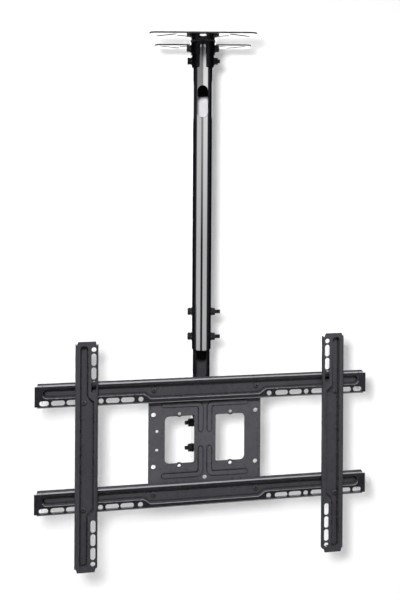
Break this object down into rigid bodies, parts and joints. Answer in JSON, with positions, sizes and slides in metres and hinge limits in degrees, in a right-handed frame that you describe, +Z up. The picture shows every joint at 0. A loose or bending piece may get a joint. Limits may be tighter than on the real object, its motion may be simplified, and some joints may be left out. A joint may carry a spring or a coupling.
{
  "type": "tv ceiling mount",
  "caption": "Telescopic pole hung from a ceiling plate, with a swivel and tilt head that carries a slotted frame for a flat screen.",
  "frame": {"origin": "centre of the ceiling plate's top face, on the pole axis", "axes": "+Z up into the ceiling, -Y out of the screen's face towards the viewer, X along the horizontal rails; the pole and ceiling plate are turned 8.8 degrees about Z from them, as in the picture"},
  "size_m": [0.645, 0.225, 1.01],
  "materials": {
    "frame_paint": "satin",
    "pole_paint": "gloss",
    "dark_steel": "satin"
  },
  "bodies": {
    "ceiling": {"ceiling_plate": "frame_paint", "ceiling_socket": "pole_paint", "outer_tube": "pole_paint", "socket_bolts": "dark_steel", "socket_washers": "dark_steel", "socket_nuts": "dark_steel", "tube_bolts": "dark_steel", "tube_washers": "dark_steel", "tube_nuts": "dark_steel"},
    "drop_tube": {"inner_tube": "pole_paint", "swivel_plug": "dark_steel"},
    "swivel_head": {"swivel_yoke": "frame_paint", "swivel_bolt": "dark_steel", "swivel_nut": "dark_steel", "tilt_pivot_bolt": "dark_steel", "tilt_lock_bolt": "dark_steel", "tilt_washers": "dark_steel", "tilt_nuts": "dark_steel"},
    "screen_frame": {"tilt_bracket": "frame_paint", "centre_plate": "frame_paint", "upper_rail": "frame_paint", "lower_rail": "frame_paint", "rail_screws": "dark_steel", "rail_nuts": "dark_steel"},
    "left_arm": {"left_upright": "frame_paint", "left_screws": "dark_steel", "left_nuts": "dark_steel"},
    "right_arm": {"right_upright": "frame_paint", "right_screws": "dark_steel", "right_nuts": "dark_steel"}
  },
  "joints": [
    {"name": "height_slide", "type": "slide", "parent": "ceiling", "child": "drop_tube", "axis": [0, 0, -1], "range_m": [0, 0.35]},
    {"name": "swivel", "type": "hinge", "parent": "drop_tube", "child": "swivel_head", "pos_m": [0, 0, -0.7195], "axis": [0, 0, 1], "range_deg": [-180, 180]},
    {"name": "tilt", "type": "hinge", "parent": "swivel_head", "child": "screen_frame", "pos_m": [0, -0.01, -0.7645], "axis": [1, 0, 0], "range_deg": [-5, 15]},
    {"name": "left_upright_slide", "type": "slide", "parent": "screen_frame", "child": "left_arm", "axis": [1, 0, 0], "range_m": [0, 0.018]},
    {"name": "right_upright_slide", "type": "slide", "parent": "screen_frame", "child": "right_arm", "axis": [1, 0, 0], "range_m": [-0.015, 0.002]}
  ]
}
